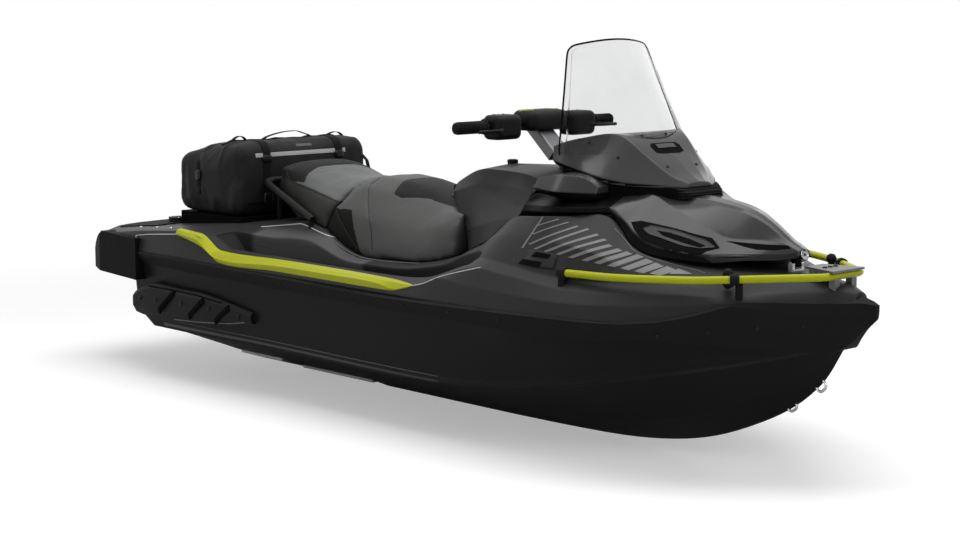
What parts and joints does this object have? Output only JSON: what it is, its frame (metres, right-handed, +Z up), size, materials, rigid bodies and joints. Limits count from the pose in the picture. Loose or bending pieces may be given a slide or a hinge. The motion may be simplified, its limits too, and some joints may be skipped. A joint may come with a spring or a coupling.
{
  "type": "personal watercraft",
  "caption": "Touring personal watercraft with jet pump, step-up saddle, tall windshield, bow rail and a cargo bag on the rear deck.",
  "frame": {"origin": "on the waterline at mid length, on the centreline, 260 mm above the keel", "axes": "+X to the bow, +Y to port, +Z up"},
  "size_m": [3.734, 1.2554, 1.4163],
  "materials": {
    "hull_gelcoat": "satin dark gelcoat",
    "deck_gelcoat": "satin charcoal gelcoat",
    "black_plastic": "grained matt black",
    "gloss_charcoal": "gloss charcoal",
    "black_rubber": "matt",
    "lime_paint": "gloss lime yellow",
    "deck_mat": "grooved foam",
    "seat_vinyl": "grey textured vinyl",
    "bag_fabric": "coated fabric",
    "webbing": "webbing",
    "steel": "stainless",
    "grey_metal": "anodised grey",
    "pump_aluminium": "cast",
    "screen": "clear",
    "display_glass": "dark glass",
    "mirror": "silvered",
    "engine_paint": "painted"
  },
  "bodies": {
    "craft": {"hull": "hull_gelcoat", "drain_fittings": "steel", "deck": "deck_gelcoat", "platform_base": "black_plastic", "stern_bumpers": "black_rubber", "rub_rails": "black_rubber", "bow_bumper": "black_rubber", "gunwale_trim": "lime_paint", "foot_mats": "deck_mat", "platform_mat": "deck_mat", "saddle": "seat_vinyl", "rear_seat": "seat_vinyl", "grab_bar": "black_plastic", "cargo_tray": "black_plastic", "cargo_anchors": "black_plastic", "cargo_bag": "bag_fabric", "bag_straps": "webbing", "console": "gloss_charcoal", "display": "display_glass", "hood_hinge": "steel", "storage_bin": "black_plastic", "bow_rail": "lime_paint", "rail_mounts": "black_rubber", "rail_plate": "grey_metal", "tow_eyes": "steel", "side_vents": "black_plastic", "sponsons": "black_plastic", "ride_plate": "pump_aluminium", "intake_grate": "pump_aluminium", "pump_housing": "pump_aluminium", "engine": "engine_paint"},
    "lid": {"glove_box_lid": "black_plastic"},
    "steering": {"handlebar": "black_plastic", "grips": "black_rubber", "steering_neck": "grey_metal", "bar_pad": "black_plastic", "control_pods": "black_plastic", "levers": "black_plastic"},
    "hood_group": {"hood": "gloss_charcoal", "cowl_base": "black_plastic", "cowl": "gloss_charcoal", "windshield": "screen", "windshield_trim": "black_rubber", "mirror_pods": "gloss_charcoal", "mirror_glass": "mirror"},
    "impeller_shaft": {"impeller": "steel"},
    "nozzle": {"steering_nozzle": "pump_aluminium"},
    "bucket": {"reverse_bucket": "black_plastic"},
    "ladder": {"boarding_ladder": "steel"}
  },
  "joints": [
    {"name": "steering_turn", "type": "hinge", "parent": "craft", "child": "steering", "pos_m": [0.503, 0, 0.689], "axis": [-0.749, 0, 0.6626], "range_deg": [-28, 28]},
    {"name": "nozzle_turn", "type": "hinge", "parent": "craft", "child": "nozzle", "pos_m": [-1.407, 0, -0.095], "axis": [0, 0, 1], "range_deg": [-20, 20]},
    {"name": "bucket_drop", "type": "hinge", "parent": "craft", "child": "bucket", "pos_m": [-1.377, 0, -0.095], "axis": [0, -1, 0], "range_deg": [0, 55]},
    {"name": "impeller_spin", "type": "hinge", "parent": "craft", "child": "impeller_shaft", "pos_m": [-1.157, 0, -0.095], "axis": [1, 0, 0], "continuous": true},
    {"name": "hood_open", "type": "hinge", "parent": "craft", "child": "hood_group", "pos_m": [1.541, 0, 0.44], "axis": [0, 1, 0], "range_deg": [0, 45]},
    {"name": "lid_open", "type": "hinge", "parent": "craft", "child": "lid", "pos_m": [0.001, 0, 0.574], "axis": [0, -1, 0], "range_deg": [0, 75]},
    {"name": "ladder_fold", "type": "hinge", "parent": "craft", "child": "ladder", "pos_m": [-1.805, 0, 0.136], "axis": [0, 1, 0], "range_deg": [0, 100], "stiffness_Nm_per_rad": 5, "springref_deg": -68.75}
  ],
  "couplings": [
    {"joint": "nozzle_turn", "follows": "steering_turn", "ratio": -0.71}
  ]
}
